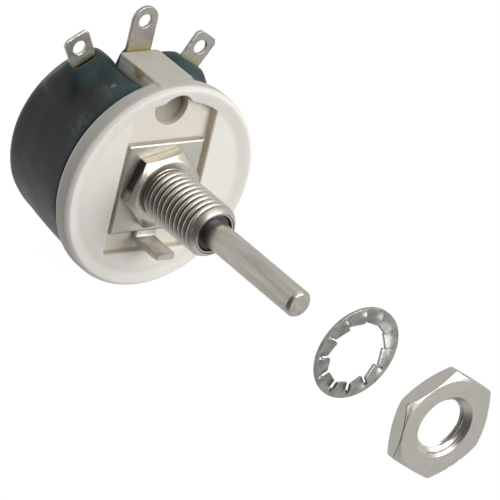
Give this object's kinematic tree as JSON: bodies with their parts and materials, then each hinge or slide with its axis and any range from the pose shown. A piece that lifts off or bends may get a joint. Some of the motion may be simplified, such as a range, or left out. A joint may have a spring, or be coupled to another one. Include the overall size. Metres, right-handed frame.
{
  "type": "wirewound potentiometer",
  "caption": "Panel-mount enamelled wirewound potentiometer with a round ceramic body, threaded bushing, plain shaft, solder lugs, lock washer and hexagonal nut.",
  "frame": {"origin": "on the shaft's axis, in the plane of the bushing flange's front face, where a panel seats", "axes": "-Y along the shaft towards its free end, +Z towards the centre terminal, +X to the right as seen from the shaft's free end"},
  "size_m": [0.0246, 0.069, 0.0299],
  "materials": {
    "ceramic": "matte off-white pressed ceramic",
    "core_ceramic": "matte off-white ceramic",
    "resistance_wire": "dull resistance wire with a polished track",
    "enamel": "glossy dark greenish black vitreous enamel",
    "tinned_strip": "dip-tinned strip",
    "collector_metal": "plain brass",
    "nickel_plate": "nickel-plated turned brass",
    "plated_steel": "nickel-plated stamped sheet",
    "shaft_metal": "fine-turned rod",
    "spring_steel": "plain spring steel",
    "moulded_insulator": "dark brown moulded insulator",
    "spring_bronze": "spring bronze",
    "brush_graphite": "dark metal-graphite",
    "rivet_brass": "plain brass",
    "stainless": "stamped steel",
    "nut_plate": "nickel-plated turned hexagon"
  },
  "bodies": {
    "base": {"ceramic_base": "ceramic", "winding_core": "core_ceramic", "resistance_winding": "resistance_wire", "enamel_coating": "enamel", "left_end_terminal": "tinned_strip", "right_end_terminal": "tinned_strip", "centre_terminal": "tinned_strip", "slip_ring": "collector_metal", "slip_ring_rivets": "collector_metal", "bushing": "nickel_plate", "base_washer": "plated_steel", "locating_plate": "plated_steel"},
    "rotor": {"shaft": "shaft_metal", "front_retaining_ring": "spring_steel", "rear_retaining_ring": "spring_steel", "thrust_washer": "spring_steel", "wave_spring": "spring_steel", "hub": "moulded_insulator", "hub_pin": "spring_steel", "contact_arm": "spring_bronze", "contact_brush": "brush_graphite", "brush_rivet": "rivet_brass", "arm_rivets": "rivet_brass", "feed_spring": "spring_bronze"},
    "washer": {"lock_washer": "stainless"},
    "nut": {"mounting_nut": "nut_plate"}
  },
  "joints": [
    {"name": "rotor_turn", "type": "hinge", "parent": "base", "child": "rotor", "pos_m": [0, 0, 0], "axis": [0, 1, 0], "range_deg": [-150, 150]},
    {"name": "washer_slide", "type": "slide", "parent": "base", "child": "washer", "axis": [0, 1, 0], "range_m": [0, 0.03518]},
    {"name": "nut_slide", "type": "slide", "parent": "washer", "child": "nut", "axis": [0, 1, 0], "range_m": [0, 0.01322]}
  ]
}
